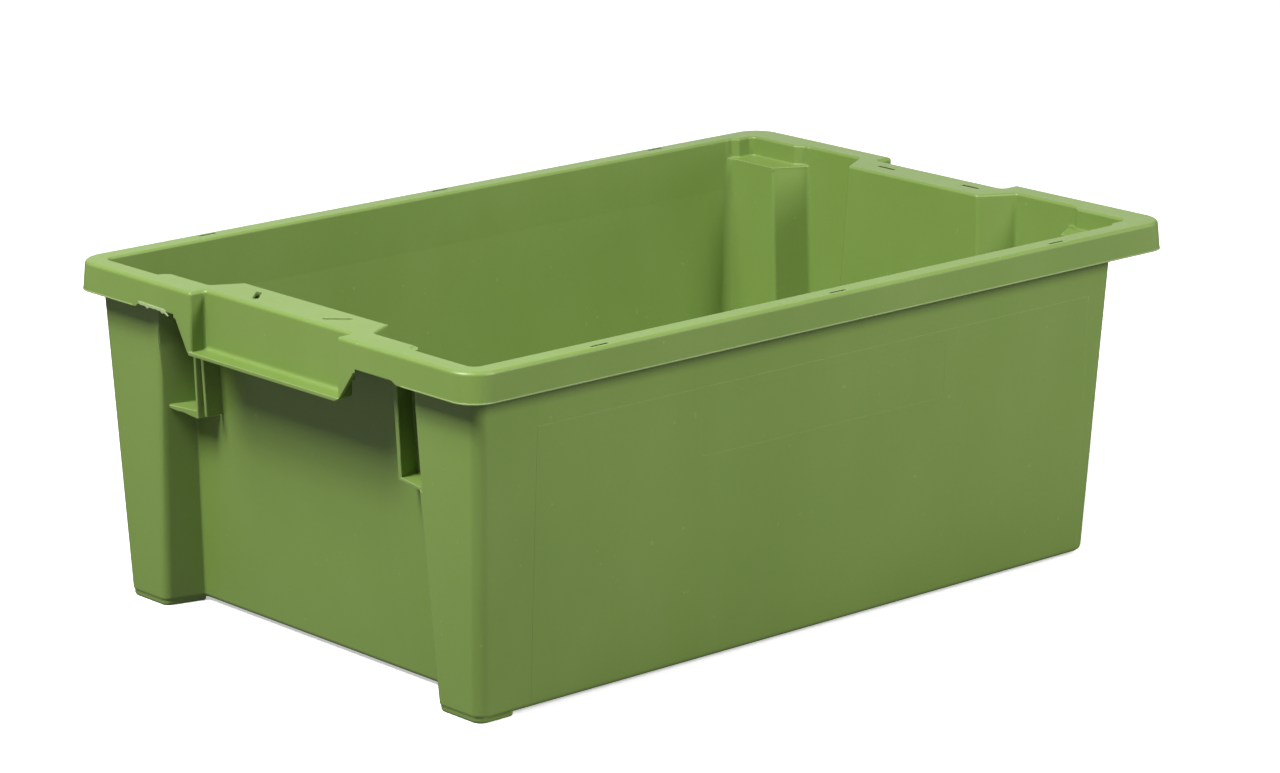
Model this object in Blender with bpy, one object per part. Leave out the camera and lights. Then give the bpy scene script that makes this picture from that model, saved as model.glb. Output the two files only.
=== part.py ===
# Stack-and-nest storage crate, one injection-moulded body.
# Frame: x along the length (near end at -x, far end at +x), y across, z up,
# origin under the centre of the rim at the level of the feet.
# Dimensions are in millimetres, and heights are given as depths below the rim
# top.  Both become metres when a solid is built.
import math

import bmesh
import bpy

MM = 0.001
SIDES = (-1.0, 1.0)       # multiplies y to place a feature on either side

# ---- driving dimensions (mm) ------------------------------------------------
LENGTH = 600.0            # over the rim
WIDTH = 400.0             # over the rim
HEIGHT = 224.0            # foot to rim top
BASE_DEPTH = 221.4        # underside of the base
WALL = 2.6                # general wall
FLOOR = 3.0               # base plate
SKIRT = 19.3              # rim skirt height

NEAR_REC = 13.4           # handle recess depth, near end
NEAR_HALF = 73.5          # half width of that recess
FAR_REC = 14.5            # handle recess depth, far end
FAR_HALF = 59.0           # half width of that recess

NICHE = 14.0              # depth of the stacking shelves
SHELF_BOTTOM = NICHE + WALL

GREEN = (0.160, 0.262, 0.066, 1.0)


# ---- plan outlines ----------------------------------------------------------
def unit(x, y):
    length = math.hypot(x, y)
    return x / length, y / length


def rounded(points, radii, segments):
    """Closed outline with each corner replaced by an arc of segments[i] pieces."""
    outline = []
    for i, (x, y) in enumerate(points):
        prev_x, prev_y = points[i - 1]
        next_x, next_y = points[(i + 1) % len(points)]
        back_x, back_y = unit(prev_x - x, prev_y - y)
        ahead_x, ahead_y = unit(next_x - x, next_y - y)
        half_angle = 0.5 * math.acos(back_x * ahead_x + back_y * ahead_y)
        radius = radii[i]
        tangent = radius / math.tan(half_angle)
        to_centre = radius / math.sin(half_angle)
        bisector_x, bisector_y = unit(back_x + ahead_x, back_y + ahead_y)
        centre_x = x + bisector_x * to_centre
        centre_y = y + bisector_y * to_centre
        start = math.atan2(y + back_y * tangent - centre_y,
                           x + back_x * tangent - centre_x)
        end = math.atan2(y + ahead_y * tangent - centre_y,
                         x + ahead_x * tangent - centre_x)
        sweep = (end - start + math.pi) % (2.0 * math.pi) - math.pi
        for k in range(segments[i] + 1):
            angle = start + sweep * k / segments[i]
            outline.append((centre_x + radius * math.cos(angle),
                            centre_y + radius * math.sin(angle)))
    return outline


def inset(points, distances):
    """Move edge i (point i to point i+1) inward by distances[i]; CCW outline."""
    lines = []
    for i, (x, y) in enumerate(points):
        next_x, next_y = points[(i + 1) % len(points)]
        dir_x, dir_y = unit(next_x - x, next_y - y)
        lines.append((x - dir_y * distances[i], y + dir_x * distances[i], dir_x, dir_y))
    outline = []
    for i, (x, y, dir_x, dir_y) in enumerate(lines):
        prev_x, prev_y, prev_dir_x, prev_dir_y = lines[i - 1]
        cross = prev_dir_x * dir_y - prev_dir_y * dir_x
        along = ((x - prev_x) * dir_y - (y - prev_y) * dir_x) / cross
        outline.append((prev_x + prev_dir_x * along, prev_y + prev_dir_y * along))
    return outline


def mirrored(half):
    """half runs from the near end to the far end on +y; returns a CCW loop."""
    return on_side(half, -1.0) + half[::-1]


def on_side(points, side):
    return [(x, side * y) for x, y in points]


# Rim corners from the near recess to the far recess: radius, segments, convex.
RIM_CORNERS = [
    (2.5, 3, False), (2.5, 3, True), (20.0, 7, True),
    (20.0, 7, True), (3.0, 3, True), (3.0, 3, False),
]
RIM_MIN_R = 0.6           # least convex radius after an inset


def rim_ring(shrink):
    end_x, side_y = LENGTH / 2.0, WIDTH / 2.0
    half = [(-end_x + NEAR_REC, NEAR_HALF), (-end_x, NEAR_HALF), (-end_x, side_y),
            (end_x, side_y), (end_x, FAR_HALF), (end_x - FAR_REC, FAR_HALF)]
    radii = [max(RIM_MIN_R, radius - shrink) if convex else radius + shrink
             for radius, _, convex in RIM_CORNERS]
    segments = [count for _, count, _ in RIM_CORNERS]
    points = mirrored(half)
    return rounded(inset(points, [shrink] * len(points)),
                   radii + radii[::-1], segments + segments[::-1])


# Outer faces of the body, as (|x| or |y| at the rim top, change per mm of depth).
# Two near legs stand out at the -x corners; two far legs stand out from the +x
# end, inboard of its corners.  A root is where a leg flank meets the end wall.
NEAR_WALL_X = (260.5, -0.040)
NEAR_LEG_X = (287.3, -0.038)
NEAR_LEG_INNER_Y = (122.6, 0.071)
LONG_WALL_Y = (190.3, -0.055)
FAR_CORNER_X = (258.0, -0.049)
FAR_LEG_OUTER_ROOT_Y = (143.0, -0.085)
FAR_LEG_OUTER_Y = (133.0, -0.085)
FAR_LEG_X = (284.1, -0.045)
FAR_LEG_INNER_Y = (74.3, 0.050)
FAR_LEG_INNER_ROOT_Y = (60.9, 0.050)
FAR_WALL_X = (260.0, -0.040)
NEAR_FLANK_SLOPE = 0.27   # y per x along the near leg's inner flank

# Corners of body_half: outer radius, inner radius, segments, convex.
BODY_CORNERS = [
    (1.5, 4.1, 2, False),     # near leg root
    (6.5, 3.9, 4, True),      # near leg, inner edge
    (8.0, 5.4, 5, True),      # near corner
    (8.0, 6.0, 5, True),      # far corner
    (1.0, 3.2, 2, False),     # far leg, outer root
    (6.0, 3.6, 4, True),      # far leg, outer edge
    (6.0, 3.6, 4, True),      # far leg, inner edge
    (1.2, 3.8, 2, False),     # far leg, inner root
]
BODY_POINTS = 2 * len(BODY_CORNERS)
BODY_MIN_R = 0.4          # least convex radius after an inset
LONG_EDGES = (2, 12)      # edges of the mirrored outline on the long walls
WALL_BREAK = 36.0         # depth where the long walls' inner face changes slope


def tapered(face, depth):
    top, per_mm = face
    return top + per_mm * depth


def body_half(depth):
    near_wall_x = tapered(NEAR_WALL_X, depth)
    near_leg_x = tapered(NEAR_LEG_X, depth)
    near_leg_y = tapered(NEAR_LEG_INNER_Y, depth)
    near_root_y = near_leg_y - NEAR_FLANK_SLOPE * (near_leg_x - near_wall_x)
    side_y = tapered(LONG_WALL_Y, depth)
    far_corner_x = tapered(FAR_CORNER_X, depth)
    far_leg_x = tapered(FAR_LEG_X, depth)
    return [(-near_wall_x, near_root_y), (-near_leg_x, near_leg_y),
            (-near_leg_x, side_y), (far_corner_x, side_y),
            (far_corner_x, tapered(FAR_LEG_OUTER_ROOT_Y, depth)),
            (far_leg_x, tapered(FAR_LEG_OUTER_Y, depth)),
            (far_leg_x, tapered(FAR_LEG_INNER_Y, depth)),
            (tapered(FAR_WALL_X, depth), tapered(FAR_LEG_INNER_ROOT_Y, depth))]


def long_wall_inner_y(depth):
    if depth <= WALL_BREAK:
        return 184.0 - 0.008 * depth
    return 183.7 - 0.0454 * (depth - WALL_BREAK)


def body_ring(depth, insets, radii):
    segments = [count for _, _, count, _ in BODY_CORNERS]
    return rounded(inset(mirrored(body_half(depth)), insets),
                   radii + radii[::-1], segments + segments[::-1])


def outer_ring(depth, shrink):
    radii = [max(BODY_MIN_R, outer - shrink) if convex else outer
             for outer, _, _, convex in BODY_CORNERS]
    return body_ring(depth, [shrink] * BODY_POINTS, radii)


def inner_ring(depth, shrink):
    insets = [WALL + shrink] * BODY_POINTS
    for edge in LONG_EDGES:
        insets[edge] = tapered(LONG_WALL_Y, depth) - long_wall_inner_y(depth) + shrink
    radii = [max(BODY_MIN_R, inner - shrink) if convex else inner + shrink
             for _, inner, _, convex in BODY_CORNERS]
    return body_ring(depth, insets, radii)


# ---- solids -----------------------------------------------------------------
def solid(loops):
    """Closed solid through loops of (x, y, depth) points, all of equal length."""
    bm = bmesh.new()
    rings = [[bm.verts.new((x * MM, y * MM, (HEIGHT - depth) * MM))
              for x, y, depth in loop] for loop in loops]
    count = len(rings[0])
    for ring, following in zip(rings, rings[1:]):
        for i in range(count):
            j = (i + 1) % count
            bm.faces.new((ring[i], following[i], following[j], ring[j]))
    bm.faces.new(rings[0])
    bm.faces.new(rings[-1][::-1])
    bmesh.ops.recalc_face_normals(bm, faces=bm.faces)
    mesh = bpy.data.meshes.new("solid")
    bm.to_mesh(mesh)
    bm.free()
    ob = bpy.data.objects.new("solid", mesh)
    bpy.context.collection.objects.link(ob)
    return ob


def loft(sections):
    """Solid through (plan outline, depth) sections, listed from the top down."""
    return solid([[(x, y, depth) for x, y in outline] for outline, depth in sections])


def prism(outline, top, bottom):
    return loft([(outline, top), (outline, bottom)])


def box(x0, x1, y0, y1, top, bottom):
    return prism([(x0, y0), (x1, y0), (x1, y1), (x0, y1)], top, bottom)


def bar_x(x0, x1, profile):
    """Solid between two x stations with a (y, depth) profile."""
    return solid([[(x, y, depth) for y, depth in profile] for x in (x0, x1)])


def bar_y(y0, y1, profile):
    """Solid between two y stations with an (x, depth) profile."""
    return solid([[(x, y, depth) for x, depth in profile] for y in (y0, y1)])


def combine(target, tool, operation):
    modifier = target.modifiers.new(operation.lower(), 'BOOLEAN')
    modifier.operation = operation
    modifier.solver = 'EXACT'
    modifier.object = tool
    depsgraph = bpy.context.evaluated_depsgraph_get()
    mesh = bpy.data.meshes.new_from_object(target.evaluated_get(depsgraph))
    target.modifiers.remove(modifier)
    old_mesh = target.data
    target.data = mesh
    bpy.data.meshes.remove(old_mesh)
    bpy.data.objects.remove(tool, do_unlink=True)


def add(target, tool):
    combine(target, tool, 'UNION')


def cut(target, tool):
    combine(target, tool, 'DIFFERENCE')


# ---- rim, walls and base ----------------------------------------------------
# (depth, inset) stations from the top down; the last ones ease the base edge.
SHELL_STATIONS = [(1.3, 0.0), (BASE_DEPTH - 3.0, 0.0),
                  (BASE_DEPTH - 0.9, 0.9), (BASE_DEPTH, 3.0)]
CAVITY_DEPTH = BASE_DEPTH - FLOOR
CAVITY_STATIONS = [(-4.0, 0.0), (WALL_BREAK, 0.0), (CAVITY_DEPTH - 5.0, 0.0),
                   (CAVITY_DEPTH - 1.5, 1.5), (CAVITY_DEPTH, 5.0)]


def rim_and_walls():
    """Rim hollowed from below, joined to the still solid body."""
    crate = prism(rim_ring(0.0), 0.0, SKIRT)
    cut(crate, prism(rim_ring(WALL), WALL, SKIRT + 5.0))
    add(crate, loft([(outer_ring(depth, shrink), depth)
                     for depth, shrink in SHELL_STATIONS]))
    return crate


def hollow(crate):
    cut(crate, loft([(inner_ring(depth, shrink), depth)
                     for depth, shrink in CAVITY_STATIONS]))


FOOT_INSET = 3.4          # foot edge in from the body outline
FOOT_REACH = 1.0          # foot edge past the leg root, along x


def feet(crate):
    """Pads below the base, under the four legs."""
    outline = inset(mirrored(body_half(BASE_DEPTH - 1.0)), [FOOT_INSET] * BODY_POINTS)
    middle = len(BODY_CORNERS)
    for half in (outline[:middle], outline[middle:][::-1]):
        (near_root, near_inner, near_corner, _,
         far_outer_root, far_outer, far_inner, far_root) = half
        near_x = near_root[0] - FOOT_REACH
        far_x = far_root[0] + FOOT_REACH
        near = [(near_x, near_root[1]), near_inner, near_corner,
                (near_x, near_corner[1])]
        far = [(far_x, far_outer_root[1]), far_outer, far_inner, (far_x, far_root[1])]
        for foot in (near, far):
            if near_root[1] > 0.0:
                foot = foot[::-1]    # keeps both sides counterclockwise
            add(crate, prism(foot, BASE_DEPTH - 1.5, HEIGHT))


# ---- stacking niches --------------------------------------------------------
NICHE_TOP = 0.8           # top of the added blocks, within the rim plate
NEAR_NICHE_X = 277.6      # |x| of the back of the near niches
NEAR_NICHE_Y = 82.3       # |y| of the inner side of the near niches
FAR_NICHE_X = 276.5       # back of the far niches
FAR_NICHE_Y = 180.5       # |y| of the outer side of the far niches
FAR_BLOCK_X = FAR_NICHE_X + WALL
FAR_BLOCK_Y = FAR_NICHE_Y + WALL
RAISED = 16.6             # depth of the raised skirt edge beside the near niches
RAISED_OUT = 129.0        # |y| of its outer end

# (x, |y|) plan outlines
NEAR_BLOCK = [
    (-257.3, 67.6), (-259.0, 67.6), (-NEAR_NICHE_X - WALL, 79.8), (-286.6, 79.8),
    (-286.6, 128.0), (-NEAR_NICHE_X, 128.0), (-NEAR_NICHE_X, 123.6), (-257.3, 118.0),
]
FAR_BLOCK = [
    (254.8, 140.3), (FAR_BLOCK_X, 131.0), (FAR_BLOCK_X, FAR_BLOCK_Y),
    (254.8, FAR_BLOCK_Y),
]
NEAR_WEB = [
    (-298.4, 91.0), (-279.0, 91.0), (-279.0, 127.0),
    (-286.0, 127.0), (-286.0, RAISED_OUT), (-298.4, RAISED_OUT),
]
NEAR_NICHE = [
    (-250.0, 60.0), (-257.4, 71.0), (-NEAR_NICHE_X, NEAR_NICHE_Y),
    (-NEAR_NICHE_X, 136.0), (-250.0, 136.0),
]
FAR_NICHE = [
    (246.0, 118.0), (FAR_NICHE_X, 118.0), (FAR_NICHE_X, FAR_NICHE_Y),
    (262.0, FAR_NICHE_Y), (246.0, 178.5),
]


def stacking_niches(crate):
    """Blocks under the rim, opened from above down to the shelf."""
    for side in SIDES:
        for outline, top in ((NEAR_BLOCK, NICHE_TOP), (FAR_BLOCK, NICHE_TOP),
                             (NEAR_WEB, NICHE)):
            add(crate, prism(on_side(outline, side), top, SHELF_BOTTOM))
        for outline in (NEAR_NICHE, FAR_NICHE):
            cut(crate, prism(on_side(outline, side), -3.0, NICHE))


# ---- handles ----------------------------------------------------------------
APRON = 40.2              # depth of the handle lip underside
LIP = 2.8                 # handle lip thickness
APRON_TOP = SKIRT - 6.0   # overlaps the rim skirt
CHEEK_RUN = 17.3          # recess side to the end of the sloping cheek edge
SIDE_INSET = 0.001        # keeps the recess sides just inside the rim face


def handle(crate, end, recess, half):
    """Recessed grip plate: back wall, lip to lift by, sides and cheeks."""
    face = LENGTH / 2.0
    back = face - recess
    inside = back - WALL
    out = half + WALL
    lip_top = APRON - LIP
    add(crate, box(end * back, end * inside, -out, out, APRON_TOP, APRON))
    lip = [(face, lip_top), (face - 8.4, lip_top - 0.8), (back + 2.6, lip_top - 2.0),
           (back - 0.6, lip_top - 5.0), (inside, lip_top), (inside, APRON),
           (face, APRON)]
    add(crate, bar_y(-out, out, [(end * x, depth) for x, depth in lip]))
    # (|y| from the recess side, depth)
    cheek = [(0.0, APRON_TOP), (20.0, APRON_TOP), (20.0, RAISED), (CHEEK_RUN, RAISED),
             (15.4, RAISED + 2.6), (4.6, APRON - 3.6), (1.6, APRON), (0.0, APRON)]
    for side in SIDES:
        add(crate, box(end * (face - SIDE_INSET), end * inside,
                       side * half, side * out, APRON_TOP, APRON))
        add(crate, bar_x(end * face, end * (face - WALL),
                         [(side * (half + y), depth) for y, depth in cheek]))


def handles(crate):
    handle(crate, -1.0, NEAR_REC, NEAR_HALF)
    handle(crate, 1.0, FAR_REC, FAR_HALF)


def raised_edges(crate):
    """Trim the near skirt between each cheek and RAISED_OUT."""
    for side in SIDES:
        cut(crate, box(-301.0, -285.0, side * (NEAR_HALF + CHEEK_RUN),
                       side * RAISED_OUT, RAISED, SKIRT + 4.0))


# ---- nesting stops ----------------------------------------------------------
POCKET = 86.3             # depth of the stop plate
STOP_T = 2.4              # plate and rib thickness
STOP_BOTTOM = POCKET + STOP_T
RIB_Y = 100.5             # |y| of the outer rib at its near end
RIB_GAP = 8.4             # spacing of the rib pair
RIB_SLOPE = 0.26          # |y| lost per mm of x along a rib
RIB_TOP_X = -278.6        # near end of a rib at its top
RIB_LOW_X = -275.0        # near end of a rib at its bottom
RIB_FAR_X = -257.2        # end of a rib at the end wall
STOP_PLATE = [            # (x, |y|)
    (-279.6, 129.0), (RIB_LOW_X, RIB_Y - 0.9), (-256.0, RIB_Y - 5.8), (-254.9, 123.5),
]


def stop_rib(start_y, side):
    def section(near_x):
        near_y = start_y - RIB_SLOPE * (near_x - RIB_TOP_X)
        far_y = start_y - RIB_SLOPE * (RIB_FAR_X - RIB_TOP_X)
        return on_side([(near_x, near_y), (RIB_FAR_X, far_y),
                        (RIB_FAR_X, far_y + STOP_T), (near_x, near_y + STOP_T)], side)

    return loft([(section(RIB_TOP_X), NICHE + 1.2), (section(RIB_LOW_X), STOP_BOTTOM)])


def nesting_stops(crate):
    """Plate and ribs beside each near leg, under the near niches: a single
    rib on the -y side, a pair of ribs on the +y side."""
    for side, rib_starts in ((-1.0, (RIB_Y,)), (1.0, (RIB_Y, RIB_Y - RIB_GAP))):
        for start_y in rib_starts:
            add(crate, stop_rib(start_y, side))
        add(crate, prism(on_side(STOP_PLATE, side), POCKET, STOP_BOTTOM))


# ---- rim details ------------------------------------------------------------
RIM_WEB_X = (-240.0, -150.0, -60.0, 60.0, 150.0, 240.0)
RIM_WEB_HALF = 1.1        # half thickness
SLOT_WIDTH = 1.9
NEAR_SLOT_WIDTH = 4.0


def rim_webs(crate):
    """Cross webs inside the hollow rim, between the wall and the skirt."""
    for side in SIDES:
        for x in RIM_WEB_X:
            add(crate, box(x - RIM_WEB_HALF, x + RIM_WEB_HALF,
                           side * 188.4, side * 198.2, WALL - 0.8, SKIRT - 3.0))


def slot(crate, x, y, length, degrees, width=SLOT_WIDTH):
    """Slot through the rim plate, centred at x, y and turned from the x axis."""
    cos, sin = math.cos(math.radians(degrees)), math.sin(math.radians(degrees))
    along, across = length / 2.0, width / 2.0
    corners = [(-along, -across), (along, -across), (along, across), (-along, across)]
    outline = [(x + u * cos - v * sin, y + u * sin + v * cos) for u, v in corners]
    cut(crate, prism(outline, -2.0, WALL + 1.5))


def drain_slots(crate):
    for side in SIDES:
        for x in (-196.0, 0.0, 196.0):
            slot(crate, x, side * 194.2, length=14.5, degrees=0.0)
        slot(crate, 272.8, side * 40.5, length=17.5, degrees=90.0)
        slot(crate, -272.2, side * 40.3, length=18.4, degrees=side * 44.0,
             width=NEAR_SLOT_WIDTH)


# ---- finish -----------------------------------------------------------------
def crate_plastic():
    material = bpy.data.materials.new("crate_plastic")
    material.use_nodes = True
    shader = material.node_tree.nodes.get("Principled BSDF")
    shader.inputs["Base Color"].default_value = GREEN
    shader.inputs["Roughness"].default_value = 0.5
    material.diffuse_color = GREEN
    return material


def finish(crate):
    """Clean up after the booleans, triangulate, name and colour."""
    bm = bmesh.new()
    bm.from_mesh(crate.data)
    bmesh.ops.remove_doubles(bm, verts=bm.verts, dist=0.00001)
    bmesh.ops.dissolve_limit(bm, angle_limit=math.radians(0.05),
                             verts=bm.verts, edges=bm.edges)
    bmesh.ops.triangulate(bm, faces=bm.faces)
    bmesh.ops.recalc_face_normals(bm, faces=bm.faces)
    bm.to_mesh(crate.data)
    bm.free()
    crate.data.materials.clear()
    crate.data.materials.append(crate_plastic())
    crate.data.shade_flat()
    crate.name = "crate_body"
    crate.data.name = "crate_body"


for ob in list(bpy.data.objects):
    bpy.data.objects.remove(ob, do_unlink=True)
crate = rim_and_walls()
feet(crate)
hollow(crate)
stacking_niches(crate)
handles(crate)
raised_edges(crate)
nesting_stops(crate)
rim_webs(crate)
drain_slots(crate)
finish(crate)
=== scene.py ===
"""A green plastic stacking crate, standing on z = 0 with its rim on top.

Its length lies along x and its width along y.  The near end is at -x, the far
end at +x.  Shapes are written in millimetres: x and y in plan, and depth below
the rim's top.  Angles are in degrees.
"""

import math

import bmesh
import bpy
from mathutils import Matrix, Vector


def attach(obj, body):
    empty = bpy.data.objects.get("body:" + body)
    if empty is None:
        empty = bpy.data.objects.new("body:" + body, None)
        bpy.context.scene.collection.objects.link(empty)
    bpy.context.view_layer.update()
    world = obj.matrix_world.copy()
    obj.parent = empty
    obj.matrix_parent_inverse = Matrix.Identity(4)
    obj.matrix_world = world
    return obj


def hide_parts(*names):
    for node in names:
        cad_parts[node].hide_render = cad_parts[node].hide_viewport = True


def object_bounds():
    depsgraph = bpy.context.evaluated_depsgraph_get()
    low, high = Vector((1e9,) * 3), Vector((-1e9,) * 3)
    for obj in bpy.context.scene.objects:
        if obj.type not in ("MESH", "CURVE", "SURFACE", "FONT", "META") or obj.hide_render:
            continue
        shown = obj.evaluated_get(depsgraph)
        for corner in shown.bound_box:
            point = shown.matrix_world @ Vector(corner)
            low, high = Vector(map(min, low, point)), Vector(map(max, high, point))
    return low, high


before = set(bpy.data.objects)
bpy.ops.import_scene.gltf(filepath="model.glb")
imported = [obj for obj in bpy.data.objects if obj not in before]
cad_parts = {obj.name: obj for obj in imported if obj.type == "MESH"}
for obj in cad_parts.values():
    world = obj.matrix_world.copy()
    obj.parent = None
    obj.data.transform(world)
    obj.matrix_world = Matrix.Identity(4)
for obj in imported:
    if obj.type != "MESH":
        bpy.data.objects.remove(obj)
cad_lo, cad_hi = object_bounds()

MM = 0.001
TOP = cad_hi.z / MM
HALF_LENGTH = (cad_hi.x - cad_lo.x) / MM / 2.0
HALF_WIDTH = (cad_hi.y - cad_lo.y) / MM / 2.0
SIDES = (-1.0, 1.0)

WALL = 2.6
FLOOR = 3.0
FOOT = 2.6                    # height of the feet below the floor
BASE_DEPTH = TOP - FOOT
MOUTH_R = 1.8                 # rounding of every opening in the rim's top
ABOVE = -3.0                  # depth at which cutters start, clear of the rim

SKIRT = 19.3                  # depth of the rim's skirt
APRON = 40.6                  # depth of the skirt where it drops at each end
LIP = 2.3
BEAD = 0.18
RIM_CORNER = 20.3             # plan radius at the top of the rim
CORNER_TAPER = 3.2            # how much smaller it is at the skirt's edge
SKIRT_CORNER = RIM_CORNER - CORNER_TAPER

# Recess in each end of the rim: how far in, and half its width.
NEAR_RECESS, NEAR_HALF = 12.1, 73.5
FAR_RECESS, FAR_HALF = 14.5, 59.0
FAR_SHIFT = 3.0               # extra width of the far recess on its +y side
# end, recess, half width, extra on the +y side
ENDS = ((-1.0, NEAR_RECESS, NEAR_HALF, 0.0),
        (1.0, FAR_RECESS, FAR_HALF, FAR_SHIFT))

NICHE = 14.0                  # depth of the shelves over the corner legs
SHELF_BOTTOM = NICHE + WALL
POCKET = 86.3                 # depth of the pockets beside the near legs
LEG_SLOPE = 0.27              # y per x along the slanted side of a near leg
STEP_DEPTH = 36.0             # where the inner face of the long walls changes slope


def z_of(depth):
    return (TOP - depth) * MM


# ---- plan outlines: closed, anticlockwise lists of (x, y) --------------------
def unit(x, y):
    length = math.hypot(x, y)
    return x / length, y / length


def rounded(points, radii, segments):
    """Outline with every corner rounded; one with no segments stays sharp."""
    outline = []
    for i, (x, y) in enumerate(points):
        if segments[i] == 0:
            outline.append((x, y))
            continue
        before, after = points[i - 1], points[(i + 1) % len(points)]
        in_x, in_y = unit(before[0] - x, before[1] - y)
        out_x, out_y = unit(after[0] - x, after[1] - y)
        half = 0.5 * math.acos(max(-1.0, min(1.0, in_x * out_x + in_y * out_y)))
        radius = radii[i]
        reach = radius / math.tan(half)
        mid_x, mid_y = unit(in_x + out_x, in_y + out_y)
        centre_x = x + mid_x * radius / math.sin(half)
        centre_y = y + mid_y * radius / math.sin(half)
        start = math.atan2(y + in_y * reach - centre_y, x + in_x * reach - centre_x)
        end = math.atan2(y + out_y * reach - centre_y, x + out_x * reach - centre_x)
        sweep = (end - start + math.pi) % (2.0 * math.pi) - math.pi
        for k in range(segments[i] + 1):
            angle = start + sweep * k / segments[i]
            outline.append((centre_x + radius * math.cos(angle),
                            centre_y + radius * math.sin(angle)))
    return outline


def turns(points):
    """+1 at each convex corner, -1 at each concave one."""
    signs = []
    for i, (x, y) in enumerate(points):
        before, after = points[i - 1], points[(i + 1) % len(points)]
        cross = (x - before[0]) * (after[1] - y) - (y - before[1]) * (after[0] - x)
        signs.append(1 if cross > 0 else -1)
    return signs


def inset(points, distances):
    """Move each edge inwards by its own distance."""
    lines = []
    for i, (x, y) in enumerate(points):
        after = points[(i + 1) % len(points)]
        ux, uy = unit(after[0] - x, after[1] - y)
        lines.append((x - uy * distances[i], y + ux * distances[i], ux, uy))
    moved = []
    for i, (bx, by, vx, vy) in enumerate(lines):
        ax, ay, ux, uy = lines[i - 1]
        along = ((bx - ax) * vy - (by - ay) * vx) / (ux * vy - uy * vx)
        moved.append((ax + ux * along, ay + uy * along))
    return moved


def offset_round(points, radii, segments, shrink):
    """Inset outline whose corner radii follow, so that offsets stay parallel."""
    followed = [max(0.12, radius - sign * shrink)
                for radius, sign in zip(radii, turns(points))]
    return rounded(inset(points, [shrink] * len(points)), followed, segments)


def mirrored(half):
    """Whole outline from its +y half, which is listed clockwise."""
    return [(x, -y) for x, y in half] + [(x, y) for x, y in reversed(half)]


def twice(values):
    return values + values[::-1]


def on_side(points, side):
    return [(x, side * y) for x, y in points]


def corners_on_side(corners, side):
    """Points, radii and segments of (x, y, radius, segments) rows on one side."""
    rows = [(x, side * y, radius, count) for x, y, radius, count in corners]
    area = sum(rows[i - 1][0] * rows[i][1] - rows[i][0] * rows[i - 1][1]
               for i in range(len(rows)))
    if area < 0:
        rows.reverse()
    return [row[:2] for row in rows], [row[2] for row in rows], [row[3] for row in rows]


def rect(x0, x1, y0, y1):
    return [(x0, y0), (x1, y0), (x1, y1), (x0, y1)]


def stadium(x, y, length, width, angle):
    """Slot outline with round ends, turned by angle."""
    steps = 5
    cos_a, sin_a = math.cos(math.radians(angle)), math.sin(math.radians(angle))
    radius, half = width / 2.0, (length - width) / 2.0
    outline = []
    for start, centre in ((-0.5 * math.pi, half), (0.5 * math.pi, -half)):
        for k in range(steps + 1):
            turn = start + math.pi * k / steps
            along, across = centre + radius * math.cos(turn), radius * math.sin(turn)
            outline.append((x + along * cos_a - across * sin_a,
                            y + along * sin_a + across * cos_a))
    return outline


# ---- edge roundings: lists of (depth, shrink) --------------------------------
def round_over(radius, steps):
    """Quarter round from a flat top down to the side."""
    angles = [0.5 * math.pi * k / steps for k in range(steps + 1)]
    return [(radius * (1.0 - math.cos(angle)), radius * (1.0 - math.sin(angle)))
            for angle in angles]


def round_under(radius, steps, bottom):
    """Quarter round from the side down to a flat bottom."""
    return [(bottom - drop, shrink) for drop, shrink in reversed(round_over(radius, steps))]


def mouth():
    """Flared top of an opening, from above the rim down to its side."""
    return [(ABOVE, -MOUTH_R)] + [(drop, -shrink) for drop, shrink in round_over(MOUTH_R, 6)]


# ---- the drafted walls -------------------------------------------------------
def panel_x(depth):
    """Outer face of the near-end panel; it leans more than the inside."""
    return -(266.5 - 0.067 * depth)


def panel_back_x(depth):
    return -(260.5 - 0.040 * depth)


def near_leg_x(depth):
    return -(287.3 - 0.038 * depth)


def near_leg_y(depth):
    return 122.6 + 0.071 * depth


def wall_y(depth):
    """Outer face of the long walls."""
    return 190.3 - 0.055 * depth


def wall_inner_y(depth):
    if depth <= STEP_DEPTH:
        return 184.1 - 0.009 * depth
    return 183.74 - 0.0454 * (depth - STEP_DEPTH)


def body_half(depth, panel):
    """The +y half of the body's plan, from the near panel to the far one."""
    leg_x, leg_y, side_y = near_leg_x(depth), near_leg_y(depth), wall_y(depth)
    far_x = 261.6 - 0.049 * depth
    far_leg_x = 284.1 - 0.045 * depth
    return [(panel, leg_y - LEG_SLOPE * (panel - leg_x)),
            (leg_x, leg_y),
            (leg_x, side_y),
            (far_x, side_y),
            (far_x, 142.6 - 0.085 * depth),
            (far_leg_x, 129.6 - 0.085 * depth),
            (far_leg_x, 74.3 + 0.050 * depth),
            (260.0 - 0.040 * depth, 60.9 + 0.050 * depth)]


# Corner radii and segments, in the order of body_half.
OUTER_R = [1.5, 6.5, 8.0, 14.2, 1.0, 6.0, 6.0, 1.2]
INNER_R = [4.1, 3.9, 5.4, 4.8, 3.0, 4.2, 3.6, 3.8]
BODY_SEGMENTS = [4, 7, 9, 9, 5, 7, 7, 4]
FAR_CORNER = 3                # index of the corner of a long wall and the far end
LONG_WALLS = (2, 12)          # edges of the whole outline


def ring_outer(depth, shrink):
    return offset_round(mirrored(body_half(depth, panel_x(depth))),
                        twice(OUTER_R), twice(BODY_SEGMENTS), shrink)


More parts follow.
